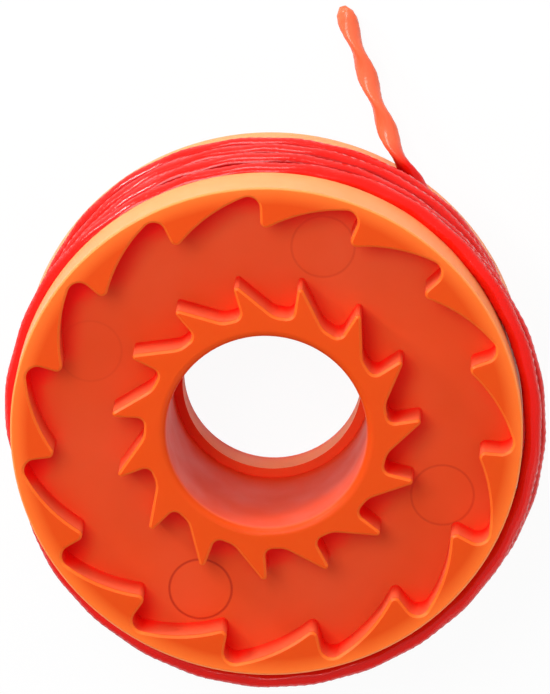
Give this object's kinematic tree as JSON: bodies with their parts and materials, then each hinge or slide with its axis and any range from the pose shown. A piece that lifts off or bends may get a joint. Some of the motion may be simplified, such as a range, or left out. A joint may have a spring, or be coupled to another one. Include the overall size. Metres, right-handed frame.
{
  "type": "trimmer line spool",
  "caption": "Moulded spool with a stepped bore, two facing rings of ratchet teeth in its top flange, and twisted trimmer line wound between the flanges.",
  "frame": {"origin": "centre of the back flange's outer face, on the bore's axis", "axes": "+Z along the bore's axis, towards the toothed drive face; the line's free end leaves on the +Y side"},
  "size_m": [0.056, 0.0695, 0.0204],
  "materials": {
    "moulding": "satin",
    "line": "glossy"
  },
  "bodies": {
    "root": {"spool": "moulding", "line_winding": "line", "line_tail": "line"}
  },
  "joints": []
}
